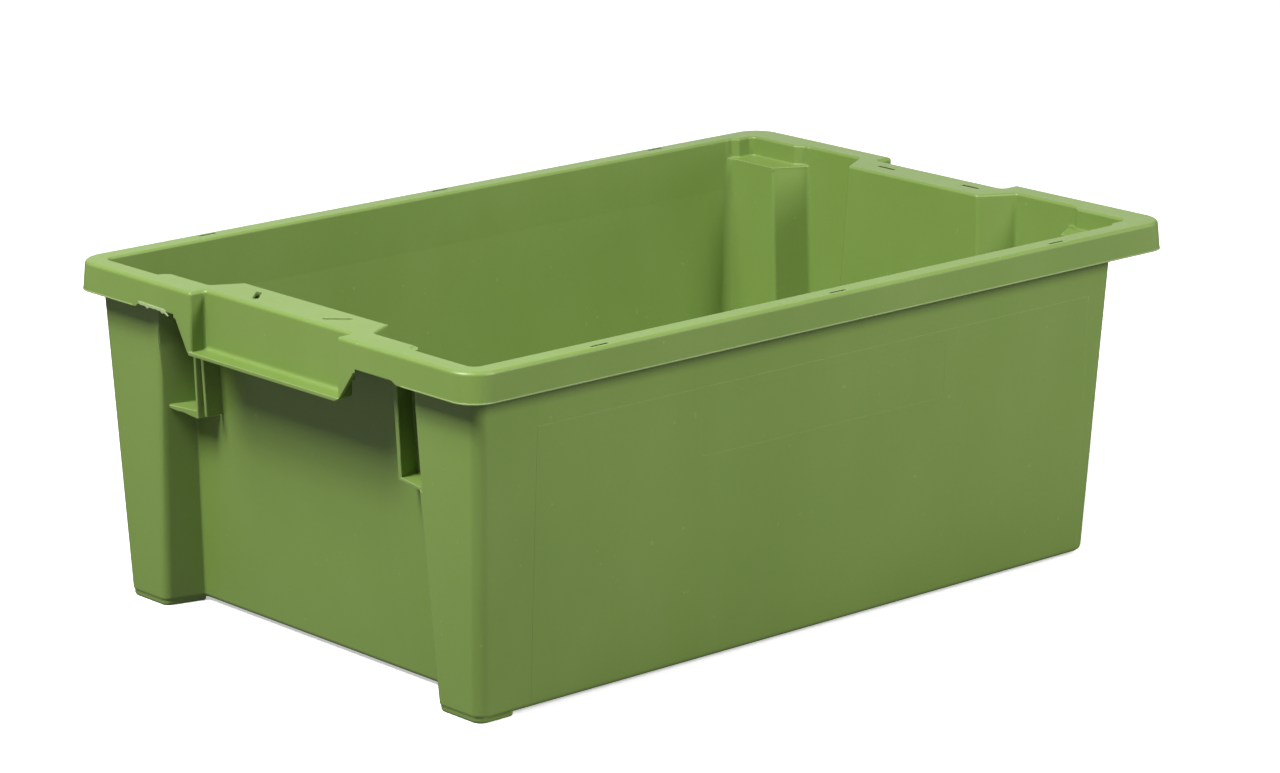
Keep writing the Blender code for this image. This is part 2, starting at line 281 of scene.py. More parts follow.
def ring_inner(depth, shrink):
    points = mirrored(body_half(depth, panel_back_x(depth)))
    walls = [WALL] * len(points)
    for edge in LONG_WALLS:
        walls[edge] = wall_y(depth) - wall_inner_y(depth)
    radii = list(INNER_R)
    # The far corners open out towards the floor.
    radii[FAR_CORNER] += 5.2 * min(1.0, max(0.0, (depth - STEP_DEPTH) / 176.0))
    return offset_round(inset(points, walls), twice(radii), twice(BODY_SEGMENTS), shrink)


def rim_points(low):
    """Rim outline; low runs from 0 at the top to 1 at the skirt's lower edge."""
    x = HALF_LENGTH - BEAD - 0.25 * (1.0 - low)
    y = HALF_WIDTH - BEAD - 0.45 * (1.0 - low)
    near, far = -HALF_LENGTH + NEAR_RECESS, HALF_LENGTH - FAR_RECESS
    points = mirrored([(near, NEAR_HALF), (-x, NEAR_HALF), (-x, y),
                       (x, y), (x, FAR_HALF), (far, FAR_HALF)])
    return [(x, y + FAR_SHIFT) if x > far - 1.0 and 0.0 < y < FAR_HALF + 1.0 else (x, y)
            for x, y in points]


def rim_ring(shrink, low):
    corner = RIM_CORNER - CORNER_TAPER * low
    return offset_round(rim_points(low), twice([2.4, 2.0, corner, corner, 1.6, 3.0]),
                        twice([8, 6, 16, 16, 6, 8]), shrink)


# ---- solids ------------------------------------------------------------------
def to_object(name, bm):
    bmesh.ops.recalc_face_normals(bm, faces=bm.faces)
    mesh = bpy.data.meshes.new(name)
    bm.to_mesh(mesh)
    bm.free()
    ob = bpy.data.objects.new(name, mesh)
    bpy.context.scene.collection.objects.link(ob)
    return ob


def add_skin(bm, loops, close=True):
    """Skin over matching loops of (x, y, z) in metres; returns the last loop."""
    loops = [[bm.verts.new(point) for point in loop] for loop in loops]
    count = len(loops[0])
    for upper, lower in zip(loops, loops[1:]):
        for i in range(count):
            j = (i + 1) % count
            bm.faces.new((upper[i], lower[i], lower[j], upper[j]))
    bm.faces.new(loops[0])
    if close:
        bm.faces.new(loops[-1][::-1])
    return loops[-1]


def solids(name, skins):
    """One object from several separate skins."""
    bm = bmesh.new()
    for loops in skins:
        add_skin(bm, loops)
    return to_object(name, bm)


def loft(name, *parts):
    """One object from several parts, each a list of (depth, outline)."""
    return solids(name, [[[(x * MM, y * MM, z_of(depth)) for x, y in outline]
                          for depth, outline in part] for part in parts])


def prisms(name, items):
    """One object from several (outline, top depth, bottom depth) prisms."""
    return loft(name, *[[(top, outline), (bottom, outline)] for outline, top, bottom in items])


def bars_x(name, items):
    """Bars along x: (start, end, profile of (y, depth)) each."""
    return solids(name, [[[(x * MM, y * MM, z_of(depth)) for y, depth in profile]
                          for x in (start, end)] for start, end, profile in items])


def bars_y(name, items):
    """Bars along y: (start, end, profile of (x, depth)) each."""
    return solids(name, [[[(x * MM, y * MM, z_of(depth)) for x, depth in profile]
                          for y in (start, end)] for start, end, profile in items])


def wall_slabs(name, outline, low, high):
    """Slab on each long wall, from low to high off its outer face; (x, depth) outline."""
    return solids(name, [[[(x * MM, side * (wall_y(depth) + off) * MM, z_of(depth))
                           for x, depth in outline] for off in (low, high)]
                         for side in SIDES])


def combine(target, tool, operation):
    boolean = target.modifiers.new("boolean", "BOOLEAN")
    boolean.operation = operation
    boolean.solver = "EXACT"
    boolean.object = tool
    graph = bpy.context.evaluated_depsgraph_get()
    mesh = bpy.data.meshes.new_from_object(target.evaluated_get(graph))
    target.modifiers.remove(boolean)
    old = target.data
    target.data = mesh
    bpy.data.meshes.remove(old)
    bpy.data.objects.remove(tool, do_unlink=True)


def add(target, tool):
    combine(target, tool, "UNION")


def cut(target, tool):
    combine(target, tool, "DIFFERENCE")


# ---- rim ---------------------------------------------------------------------
def apron_profile(half, reach, shift, tuck):
    """(y, depth) outline of the part of the skirt that drops at one end."""
    def edge(pull):
        return [(reach, SKIRT - 9.0), (reach, SKIRT - 0.01), (half + 16.2, SKIRT - 0.01),
                (half + 15.4, SKIRT + 0.7), (half + 14.5, SKIRT + 2.2),
                (half + 5.2 - pull, APRON - 3.4), (half + 4.1 - 1.2 * pull, APRON - 1.7),
                (half + 2.4 - 1.3 * pull, APRON - 0.5), (half - 0.4 - 1.3 * pull, APRON + 0.1)]
    return ([(y + shift, depth) for y, depth in edge(0.0)]
            + [(-y, depth) for y, depth in reversed(edge(tuck))])


def rim_shell():
    """Rolled rim: flat top, rounded outer edge and a hollow skirt that drops to
    form the grip at each end."""
    rim = loft("crate", [(depth, rim_ring(shrink, depth / SKIRT))
                         for depth, shrink in round_over(2.4, 6)]
               + [(SKIRT, rim_ring(0.0, 1.0)), (APRON, rim_ring(0.0, 1.0))])
    cut(rim, loft("hollow", [(WALL, rim_ring(WALL + 1.2, 0.2)),
                             (WALL + 1.2, rim_ring(WALL, 0.3)),
                             (SKIRT, rim_ring(WALL - 0.15, 1.0)),
                             (APRON + 6.0, rim_ring(WALL - 0.2, 1.0))]))
    # Clear everything below the skirt but the aprons.
    low = prisms("low", [(rect(-310.0, 310.0, -210.0, 210.0), SKIRT, APRON + 20.0)])
    aprons = []
    for (end, recess, half, shift), reach, tuck in zip(ENDS, (95.0, 80.0), (2.8, 0.0)):
        aprons.append((end * (HALF_LENGTH + 4.0), end * (HALF_LENGTH - recess - WALL - 1.0),
                       apron_profile(half, reach, shift, tuck)))
    cut(low, bars_x("keep", aprons))
    cut(rim, low)
    return rim


def bead(crate):
    """Fine bead along the skirt's lower edge, absent at the grips."""
    ring = loft("bead", [(SKIRT - 1.0, rim_ring(0.25, 1.0)),
                         (SKIRT - 0.6, rim_ring(-BEAD, 1.0)),
                         (SKIRT, rim_ring(-BEAD, 1.0))])
    top, bottom = SKIRT - 3.0, SKIRT + 1.0
    cut(ring, prisms("core", [(rim_ring(1.0, 1.0), top, bottom)]))
    near, far = 134.5, FAR_HALF + 17.0
    cut(ring, prisms("gap", [(rect(-310.0, -280.0, -near, near), top, bottom),
                             (rect(280.0, 310.0, -far, far + FAR_SHIFT), top, bottom)]))
    add(crate, ring)


# ---- body --------------------------------------------------------------------
def body_shell(crate):
    stations = [(1.2, 0.0)] + round_under(3.2, 6, BASE_DEPTH)
    add(crate, loft("shell", [(depth, ring_outer(depth, shrink))
                              for depth, shrink in stations]))


def feet(crate):
    """Feet under the near and far legs, with rounded edges."""
    margin, segments = 0.75, 6
    panel, leg, side, _, far_wall, far_leg, far_inner, far_panel = body_half(
        BASE_DEPTH - 1.0, panel_back_x(BASE_DEPTH - 1.0))
    near_x, far_x = panel[0] + 2.0, far_panel[0] - 2.0
    near = [(near_x, panel[1], 1.6, segments), (*leg, 6.5, segments),
            (*side, 8.0, segments), (near_x, side[1], 4.0, segments)]
    far = [(far_x, far_wall[1] - 0.6, 2.0, segments), (*far_leg, 6.0, segments),
           (*far_inner, 6.0, segments), (far_x, far_panel[1], 2.0, segments)]
    stations = [(BASE_DEPTH - 4.5, 0.0)] + round_under(1.9, 5, TOP)
    add(crate, loft("pads", *[[(depth, offset_round(*corners_on_side(corners, side_sign),
                                                    margin + shrink))
                               for depth, shrink in stations]
                              for side_sign in SIDES for corners in (near, far)]))


def cavity(crate):
    stations = (mouth() + [(STEP_DEPTH, 0.0), (STEP_DEPTH + 0.12, 0.0)]
                + round_under(6.0, 7, BASE_DEPTH - FLOOR))
    cut(crate, loft("cavity", [(depth, ring_inner(depth, shrink))
                               for depth, shrink in stations]))


# Outlines on the +y side.  Blocks (x, y) carry the shelves over the legs.
NEAR_BLOCK = [(-257.2, 67.6), (-259.0, 67.6), (-280.2, 79.8), (-286.6, 79.8),
              (-286.6, 128.4), (-277.6, 128.4), (-277.6, 123.6), (-257.2, 118.0)]
FAR_BLOCK = [(258.2, 139.8), (278.8, 127.8), (283.7, 127.8), (283.7, 138.6),
             (279.1, 141.0), (279.1, 186.0), (258.2, 186.0)]
RAISED_INNER = 91.0           # inner y of the raised stretch of the near skirt
NEAR_PLATE = [(-298.2, RAISED_INNER - 1.0), (-279.0, RAISED_INNER - 1.0), (-279.0, 127.0),
              (-286.0, 127.0), (-286.0, 131.5), (-298.2, 131.5)]
# Niches cut above the shelves: x, y, corner radius, segments.
NEAR_NICHE = [(-249.0, 56.0, 0.0, 0), (-257.6, 71.0, 4.0, 6), (-277.6, 82.3, 3.0, 5),
              (-277.6, 122.6, 1.0, 2), (-278.0, 124.7, 1.0, 2), (-279.2, 126.5, 1.0, 2),
              (-281.0, 127.7, 1.0, 2), (-283.2, 128.5, 0.0, 0), (-283.2, 140.0, 0.0, 0),
              (-249.0, 140.0, 0.0, 0)]
FAR_NICHE = [(246.0, 114.0, 0.0, 0), (281.0, 114.0, 0.0, 0), (281.0, 131.2, 1.2, 4),
             (276.7, 136.8, 3.0, 5), (276.5, 180.2, 4.2, 8), (263.4, 180.2, 2.6, 5),
             (259.4, 183.7, 1.4, 4), (246.0, 183.9, 0.0, 0)]


def niches(crate):
    add(crate, prisms("niche blocks", [(on_side(block, side), 0.8, SHELF_BOTTOM)
                                       for block in (NEAR_BLOCK, FAR_BLOCK)
                                       for side in SIDES]))
    add(crate, prisms("niche plates", [(on_side(NEAR_PLATE, side), NICHE, SHELF_BOTTOM)
                                       for side in SIDES]))
    stations = mouth() + round_under(1.4, 4, NICHE)
    cut(crate, loft("niches", *[[(depth, offset_round(*corners_on_side(corners, side), shrink))
                                 for depth, shrink in stations]
                                for side in SIDES for corners in (NEAR_NICHE, FAR_NICHE)]))


# ---- pockets beside the near legs --------------------------------------------
def pocket_y(depth, side, x, gap=0.0):
    """Slanted side wall of a pocket, as a distance from the centre line."""
    if side < 0:
        start = 51.7 + 0.059 * depth
    elif depth < 44.5:
        start = 45.0 + 0.1258 * depth
    else:
        start = 50.6 + 0.0368 * (depth - 44.5)
    return start + gap - LEG_SLOPE * x


# Depths of the leg's front slab, and its setback there on each side.
SLAB_DEPTHS = [15.0, 30.0, 44.5, 56.0, 69.0, 78.0, 86.2]
SLAB_SETBACK = {1.0: [0.06, 0.06, 0.06, 0.7, 1.6, 3.2, 5.5],
                -1.0: [0.06, 0.06, 0.06, 0.06, 0.06, 0.2, 0.9]}


def slab_sections(side):
    thick = 2.6
    sections = []
    for depth, setback in zip(SLAB_DEPTHS, SLAB_SETBACK[side]):
        front = near_leg_x(depth) + setback
        back = panel_back_x(depth) + 4.6
        end = near_leg_y(depth) + 12.0
        outline = [(front, pocket_y(depth, side, front, 0.3)),
                   (back, pocket_y(depth, side, back, 0.3)),
                   (back, pocket_y(depth, side, back, 2.4)),
                   (front + thick, pocket_y(depth, side, front + thick, 2.4)),
                   (front + thick, end), (front, end)]
        sections.append((depth, on_side(outline, side)))
    return sections


def void_sections(side):
    front = -296.0
    sections = []
    for depth in (17.0, 30.0, 44.5, 60.0, 75.0, POCKET + 0.6):
        back = panel_x(depth) + 0.1
        outline = [(front, pocket_y(depth, side, front)), (back, pocket_y(depth, side, back)),
                   (back, 101.6), (front, 104.6)]
        sections.append((depth, on_side(outline, side)))
    return sections


def web_sections(side):
    sections = []
    for depth in (15.6, 30.0, 44.5, 60.0, 75.0, 87.1):
        front, back = panel_x(depth) + 0.3, panel_back_x(depth) + 2.3
        outline = [(front, 115.0), (back, 115.0), (back, pocket_y(depth, side, back, 1.4)),
                   (front, pocket_y(depth, side, front, 1.4))]
        sections.append((depth, on_side(outline, side)))
    return sections


def pockets(crate):
    """Side walls of the nesting pockets, let into the inner side of each near leg;
    the leg's front face runs flat up to the pocket's edge."""
    add(crate, loft("slab", *[slab_sections(side) for side in SIDES]))
    cut(crate, loft("void", *[void_sections(side) for side in SIDES]))
    add(crate, loft("web", web_sections(-1.0)))


# ---- grips -------------------------------------------------------------------
def lips(crate):
    """Lip across the bottom of each end recess, swept up into its back wall."""
    lip_bars, under = [], []
    face = HALF_LENGTH
    for end, recess, half, shift in ENDS:
        back = face - recess
        start = back + 3.4
        top = [(face, APRON - LIP)]
        for k in range(13):
            angle = 0.5 * math.pi * k / 12
            top.append((start - (start - back + 0.05) * math.sin(angle),
                        APRON - LIP - 0.15 - 3.2 * (1.0 - math.cos(angle))))
        bottom = [(back - WALL, APRON - 8.6), (back - WALL + 1.2, APRON - 5.4),
                  (back + 1.6, APRON - 2.4), (back + 5.0, APRON - 0.9), (face - 3.4, APRON)]
        profile = [(face, APRON)] + top + [(back - WALL, APRON - LIP - 6.7)] + bottom
        below = ([(back - WALL - 3.0, APRON - 8.6)] + bottom
                 + [(face - 3.4, APRON + 4.0), (back - WALL - 3.0, APRON + 4.0)])
        out = half + WALL + 0.2
        lip_bars.append((-out, out + shift, [(end * x, depth) for x, depth in profile]))
        under.append((-out - 9.0, out + shift + 9.0, [(end * x, depth) for x, depth in below]))
    add(crate, bars_y("lips", lip_bars))
    cut(crate, bars_y("under", under))


def apron_corner(crate):
    """Round off the lower corner of the near apron on the -y side."""
    profile = [(-77.5, 36.2), (-77.5, 42.3), (-69.0, 42.3), (-69.0, 40.75),
               (-71.2, 40.3), (-73.4, 39.4), (-75.2, 38.0)]
    cut(crate, bars_x("corner", [(-302.0, -HALF_LENGTH + NEAR_RECESS + 1.5, profile)]))


def trim_recesses(crate):
    """Clear the space behind the sides and back of each end recess."""
    skin = 1.2
    outer = HALF_LENGTH - WALL + 0.2
    items = []
    for (end, recess, base, shift), reach in zip(ENDS, (24.0, 12.0)):
        back = HALF_LENGTH - recess
        for side in SIDES:
            half = base + (shift if side > 0 else 0.0)
            outline = [(outer, half + skin), (back + 3.6, half + skin),
                       (back + 1.2, half + skin - 0.7), (back - skin + 0.6, half - 1.4),
                       (back - skin, half - 3.8), (back - skin, 20.0), (back - 7.0, 20.0),
                       (back - 7.0, half + reach), (outer, half + reach)]
            items.append(([(end * x, side * y) for x, y in outline], 28.4, APRON + 5.0))
    cut(crate, prisms("trim", items))


RAISED = 17.0                 # depth of the skirt's edge where it is raised
# side, outer y, (y, depth) steps down from there to the skirt's edge
RAISED_ENDS = ((1.0, 127.5, [(0.0, 0.0), (1.5, 0.4), (3.1, 1.6), (4.2, 2.3)]),
               (-1.0, 124.2, [(0.0, 0.0), (1.6, 0.2), (3.3, 0.9), (5.1, 1.9), (6.9, 2.3)]))


def raise_skirt(crate):
    """Raised stretches of the near skirt, outwards of the grip."""
    items = []
    for side, outer, steps in RAISED_ENDS:
        profile = [(RAISED_INNER, RAISED)]
        profile += [(outer + y, RAISED + drop) for y, drop in steps]
        profile += [(profile[-1][0], SKIRT + 3.0), (RAISED_INNER, SKIRT + 3.0)]
        items.append((-302.0, -287.6, [(side * y, depth) for y, depth in profile]))
    cut(crate, bars_x("raise", items))


# (y, depth) outline of the torn flash.
BURR = [(128.2, 16.4), (126.6, 17.2), (124.8, 17.4), (122.4, 17.2), (120.6, 17.5),
        (119.2, 18.3), (118.0, 18.5), (117.2, 17.6), (114.6, 17.3), (112.2, 17.6),
        (109.4, 17.3), (107.6, 17.7), (105.2, 17.4), (103.6, 18.4), (102.2, 18.7),
        (100.8, 18.2), (98.6, 19.0), (97.0, 19.6), (96.2, 19.1), (98.0, 18.1),
        (99.0, 17.2), (98.8, 16.4), (101.2, 15.7), (104.6, 15.5), (115.0, 15.3),
        (126.0, 15.1), (128.0, 15.4)]


def burr(crate):
    """Torn flash left along the raised edge of the skirt on the +y side."""
    add(crate, bars_x("burr", [(-HALF_LENGTH + 0.01, -HALF_LENGTH + 0.7, BURR)]))


# ---- nesting stops -----------------------------------------------------------
# side, front x, inner and outer y (each at the top and at the bottom), y lost
# per x towards the back, bottom depth, shift of the front at the very bottom
RIBS = ((1.0, (-278.6, -275.0), (99.6, 101.7), (102.6, 103.9), 0.12, 91.3, -0.5),
        (-1.0, (-278.6, -275.0), (99.0, 99.9), (103.2, 102.9), 0.18, 88.7, 0.0))
INNER_RIB = (1.0, (-279.3, -273.7), (92.2, 94.6), (94.6, 96.9), 0.0, 89.0, 0.0)


def rib_sections(side, front_x, inner_y, outer_y, slant, bottom, foot):
    back, chamfer = -258.8, 0.5
    depths = [NICHE + 1.2, 60.0, bottom - 1.6, bottom]
    sections = []
    for depth in depths:
        share = (depth - depths[0]) / (bottom - depths[0])
        front = (front_x[0] + (front_x[1] - front_x[0]) * share
                 + (foot if depth == bottom else 0.0))
        inner = inner_y[0] + (inner_y[1] - inner_y[0]) * share
        outer = outer_y[0] + (outer_y[1] - outer_y[0]) * share
        run = slant * (back - front)
        outline = [(front + chamfer, inner), (back, inner - run), (back, outer - run),
                   (front + chamfer, outer), (front, outer - chamfer),
                   (front, inner + chamfer)]
        sections.append((depth, on_side(outline, side)))
    return sections


# Depths of a plate's lower front edge, from the leg inwards.
PLATE_EDGE = {1.0: [88.0, 88.7, 89.2, 89.1, 89.5, 90.3, 90.9, 91.2],
              -1.0: [88.4] * 8}


def stop_plates(crate):
    """Plate between each near leg and its ribs."""
    leg_end, rib_end = (-279.5, 126.0), (-275.2, 102.0)
    points = [(leg_end[0] + (rib_end[0] - leg_end[0]) * k / 7.0,
               leg_end[1] + (rib_end[1] - leg_end[1]) * k / 7.0) for k in range(8)]
    points += [(-256.2, 97.0), (-255.2, 121.6), (-278.0, 127.9)]
    count = len(points)
    hub = count - 2           # back corner from which the underside fans out
    bm = bmesh.new()
    for side in SIDES:
        edge = PLATE_EDGE[side]
        lower = edge + [edge[-1], edge[0], edge[0]]
        loops = [[(x * MM, side * y * MM, z_of(depth)) for (x, y), depth in zip(points, depths)]
                 for depths in ([POCKET] * count, lower)]
        under = add_skin(bm, loops, close=False)
        for i in range(count):
            j = (i + 1) % count
            if hub not in (i, j):
                bm.faces.new((under[hub], under[j], under[i]))
    add(crate, to_object("plates", bm))


def stops(crate):
    add(crate, loft("ribs", *[rib_sections(*rib) for rib in RIBS]))
    add(crate, loft("inner rib", rib_sections(*INNER_RIB)))
    stop_plates(crate)


# ---- small features ----------------------------------------------------------
def webs(crate):
    """Webs between the long walls and the skirt."""
    half = 1.1
    items = []
    for x in (-240.0, -150.0, -60.0, 60.0, 150.0, 240.0):
        for y0, y1 in ((188.2, 198.0), (-198.0, -188.2)):
            items.append((rect(x - half, x + half, y0, y1), WALL - 0.8, SKIRT - 3.0))
    add(crate, prisms("webs", items))


def marks(crate):
    """Shallow mould-insert outline and label field on the long walls."""
    insert = [(-239.6, 43.6), (234.2, 43.6), (236.4, 160.0), (238.0, 217.6),
              (-238.6, 217.6), (-239.2, 160.0)]
    add(crate, wall_slabs("insert", insert, -1.0, 0.06))
    field = rounded(rect(-108.0, 102.7, 50.0, 88.3), [6.5] * 4, [6] * 4)
    cut(crate, wall_slabs("field", field, 0.02, 2.0))


def slots(crate):
    """Drain slots through the rim's top face, most with a relief underneath."""
    top, relief_top, bottom = -2.0, 0.45, WALL + 3.0
    long_y, far_x = 194.2, 272.8
    slot, relief = [], []
    for side in SIDES:
        y, far_y = side * long_y, side * 40.5
        for x in (-196.0, 0.0, 196.0):
            slot.append((stadium(x, y, 15.0, 2.2, 0.0), top, bottom))
            relief.append((rect(x - 6.9, x + 6.9, y - 2.6, y + 2.6), relief_top, bottom))
        slot.append((stadium(far_x, far_y, 18.0, 3.0, 90.0), top, bottom))
        relief.append((rect(270.0, 275.6, far_y - 8.2, far_y + 8.2), relief_top, bottom))
        slot.append((stadium(-272.2, side * 40.3, 19.0, 4.2, side * 44.0), top, bottom))
    cut(crate, prisms("slots", slot))
    cut(crate, prisms("reliefs", relief))


# ---- finishing the mesh ------------------------------------------------------
def tidy(bm):
    bmesh.ops.remove_doubles(bm, verts=bm.verts, dist=0.00001)
    bmesh.ops.dissolve_degenerate(bm, edges=bm.edges, dist=0.000005)
    bmesh.ops.dissolve_limit(bm, angle_limit=math.radians(0.12),
                             verts=bm.verts, edges=bm.edges)


def shed(bm):
    """Drop the slivers that a cut can leave loose."""
    loose = [f for f in bm.faces if all(len(e.link_faces) == 1 for e in f.edges)]
    bmesh.ops.delete(bm, geom=loose, context="FACES")
    bare = [v for v in bm.verts if not v.link_faces]
    bmesh.ops.delete(bm, geom=bare, context="VERTS")


def on_shelf(vert):
    x, y = vert.co.x / MM, vert.co.y / MM
    return (abs(vert.co.z - z_of(NICHE)) < 0.2 * MM and abs(y) < 187.0
            and (250.0 < x < 283.0 or -281.0 < x < -250.0))


def soften(crate):
    """Clean the mesh and round the open edges of the four shelves."""
    bm = bmesh.new()
    bm.from_mesh(crate.data)
    tidy(bm)
    edges = [e for e in bm.edges if all(on_shelf(v) for v in e.verts)
             and e.calc_face_angle_signed(0.0) > math.radians(30.0)]
    for end in (-1.0, 1.0):
        for side in SIDES:
            # Bevelling one shelf removes its edges, so they are skipped afterwards.
            group = [e for e in edges if e.is_valid
                     and e.verts[0].co.x * end > 0 and e.verts[0].co.y * side > 0]
            if group:
                bmesh.ops.bevel(bm, geom=group, offset=1.6 * MM, segments=4, profile=0.5,
                                affect="EDGES", clamp_overlap=True)
    shed(bm)
    bm.to_mesh(crate.data)
    bm.free()


def in_burr(vert):
    return 96.1 < vert.co.y / MM < 128.3 and 15.05 < TOP - vert.co.z / MM < 19.65


def paleness(face, verts):
    """How much painted highlight a face gets: most on the burr, as a painted glint on the torn
    flash, and a little on the skirt's lower edge, as a painted reflection of the floor.
    """
    x, y, depth = face.center.x / MM, face.center.y / MM, TOP - face.center.z / MM
    # Painted glint on the torn flash, palest on its upper +y part.
    if (-HALF_LENGTH - 0.01 < x < -HALF_LENGTH + 0.72
            and all(in_burr(verts[v]) for v in face.vertices)):
        return 1.0 if depth < 17.3 and y > 104.0 else 0.5
    # Painted reflection of the floor: a faint pale line along the skirt's lower edge.
    if abs(depth - SKIRT + 0.47) < 0.5 and abs(face.normal.z) < 0.95:
        past_x, past_y = abs(x) - HALF_LENGTH, abs(y) - HALF_WIDTH
        past_corner = math.hypot(max(0.0, past_x + SKIRT_CORNER),
                                 max(0.0, past_y + SKIRT_CORNER)) - SKIRT_CORNER
        if max(past_x, past_y, past_corner) > -0.6:
            return 0.12
    return 0.0


def shade(crate):
    mesh = crate.data
    # The pale attribute holds the painted highlight: a glint on the burr and a floor reflection
    # on the skirt's lower edge.
    pale = mesh.attributes.new("pale", "FLOAT", "FACE")
    for face in mesh.polygons:
        face.use_smooth = True
        pale.data[face.index].value = paleness(face, mesh.vertices)
    mesh.set_sharp_from_angle(angle=math.radians(40.0))
    normals = crate.modifiers.new("normals", "WEIGHTED_NORMAL")
    normals.keep_sharp = True
    normals.weight = 90


def build():
    crate = rim_shell()
    for step in (bead, body_shell, feet, cavity, niches, pockets, lips, apron_corner,
                 trim_recesses, raise_skirt, burr, stops, webs, marks, slots, soften):
        step(crate)
    crate.name = "crate"
    crate.data.name = "crate"
    shade(crate)
    return crate


crate = build()
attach(crate, "root")
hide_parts("crate_body")


# ---- material ----------------------------------------------------------------
ROUGHNESS, ROUGHNESS_SWING = 0.44, 0.035
BODY_DARK = (0.158, 0.250, 0.050, 1.0)
BODY_LIGHT = (0.172, 0.268, 0.056, 1.0)
BODY_PALE = (0.205, 0.300, 0.085, 1.0)
BODY_DEEP = (0.110, 0.185, 0.034, 1.0)
# Pale colour of the specks and of the rubbed edges, which also serves as a painted edge
# highlight.
BODY_RUB_AND_HIGHLIGHT = (0.360, 0.460, 0.210, 1.0)
# Colour of the painted highlight on the burr and on the skirt's lower edge.
PAINTED_HIGHLIGHT = (0.46, 0.54, 0.30, 1.0)


def plastic():
    """Satin injection-moulded polyethylene: slight colour variation, fine grain, uneven gloss,
    pale specks, lightly rubbed edges that also carry a painted edge highlight, and painted
    highlights on the burr and the skirt's lower edge."""
    mat = bpy.data.materials.new("green_plastic")
    mat.use_nodes = True
    nodes, link = mat.node_tree.nodes, mat.node_tree.links.new
    bsdf = nodes["Principled BSDF"]

    def node(kind, **settings):
        made = nodes.new(kind)
        for key, value in settings.items():
            setattr(made, key, value)
        return made

    def ramp(source, start, end, low, high):
        """Map start..end of the source to low..high."""
        made = node("ShaderNodeMapRange")
        made.inputs["From Min"].default_value = start
        made.inputs["From Max"].default_value = end
        made.inputs["To Min"].default_value = low
        made.inputs["To Max"].default_value = high
        link(source, made.inputs["Value"])
        return made.outputs["Result"]

    def tint(under, factor, colour):
        """Lay a colour over another colour or a socket."""
        made = node("ShaderNodeMix", data_type="RGBA")
        factor_in, under_in, over_in = (made.inputs[i] for i in (0, 6, 7))
        link(factor, factor_in)
        if isinstance(under, tuple):
            under_in.default_value = under
        else:
            link(under, under_in)
        over_in.default_value = colour
        return made.outputs[2]

    def noise(scale, detail, stretch=(1.0, 1.0, 1.0)):
        mapping = node("ShaderNodeMapping")
        mapping.inputs["Scale"].default_value = stretch
        link(coords.outputs["Object"], mapping.inputs["Vector"])
        made = node("ShaderNodeTexNoise")
        made.inputs["Scale"].default_value = scale
        made.inputs["Detail"].default_value = detail
        link(mapping.outputs["Vector"], made.inputs["Vector"])
        return made.outputs["Fac"]

    def bump(height, normal, strength, distance):
        made = node("ShaderNodeBump")
        made.inputs["Strength"].default_value = strength
        made.inputs["Distance"].default_value = distance
        link(height, made.inputs["Height"])
        link(normal, made.inputs["Normal"])
        return made.outputs["Normal"]

    coords = node("ShaderNodeTexCoord")
    clouds = noise(scale=5.0, detail=3.0)
    flow = noise(scale=26.0, detail=4.0, stretch=(1.0, 1.0, 0.35))
    grain = noise(scale=1500.0, detail=2.0)
    mottle = noise(scale=520.0, detail=3.0)
    specks = noise(scale=190.0, detail=1.0)

    body = tint(BODY_DARK, ramp(clouds, start=0.35, end=0.65, low=0.0, high=1.0), BODY_LIGHT)
    body = tint(body, ramp(flow, start=0.42, end=0.72, low=0.0, high=0.16), BODY_PALE)
    body = tint(body, ramp(mottle, start=0.40, end=0.60, low=0.0, high=0.06), BODY_DEEP)
    body = tint(body, ramp(specks, start=0.755, end=0.785, low=0.0, high=0.16), BODY_RUB_AND_HIGHLIGHT)

    # Edges are lightened where the bevelled normal turns away from the true one: rubbed wear
    # plus a painted edge highlight.
    pale = node("ShaderNodeAttribute", attribute_name="pale")
    geometry = node("ShaderNodeNewGeometry")
    edge = node("ShaderNodeBevel", samples=4)
    edge.inputs["Radius"].default_value = 0.9 * MM
    facing = node("ShaderNodeVectorMath", operation="DOT_PRODUCT")
    link(edge.outputs["Normal"], facing.inputs[0])
    link(geometry.outputs["Normal"], facing.inputs[1])
    edge_rub_and_highlight = ramp(facing.outputs["Value"], start=0.99, end=0.84, low=0.0, high=0.75)
    body = tint(body, edge_rub_and_highlight, BODY_RUB_AND_HIGHLIGHT)
    # Painted highlight from the pale attribute: a glint on the burr and a floor reflection on
    # the skirt's lower edge.
    body = tint(body, pale.outputs["Fac"], PAINTED_HIGHLIGHT)
    link(body, bsdf.inputs["Base Color"])

    gloss = ramp(flow, start=0.3, end=0.7, low=ROUGHNESS - ROUGHNESS_SWING,
                 high=ROUGHNESS + ROUGHNESS_SWING)
    link(gloss, bsdf.inputs["Roughness"])
    bsdf.inputs["IOR"].default_value = 1.5
    bsdf.inputs["Specular IOR Level"].default_value = 0.5

    normal = bump(grain, edge.outputs["Normal"], strength=0.35, distance=0.00008)
    normal = bump(noise(scale=17.0, detail=1.0), normal, strength=0.5, distance=0.00045)
    link(normal, bsdf.inputs["Normal"])
    return mat


crate.data.materials.clear()
crate.data.materials.append(plastic())


# ---- floor, light, camera: in metres -----------------------------------------
FLOOR_SEEN = (0.93, 0.93, 0.93, 1.0)
FLOOR_BACK = (0.17, 0.17, 0.17, 1.0)
FLOOR_GLOW = 0.5
WORLD_STRENGTH = 0.136
LIGHT_TARGET = (0, 0, 0.1)


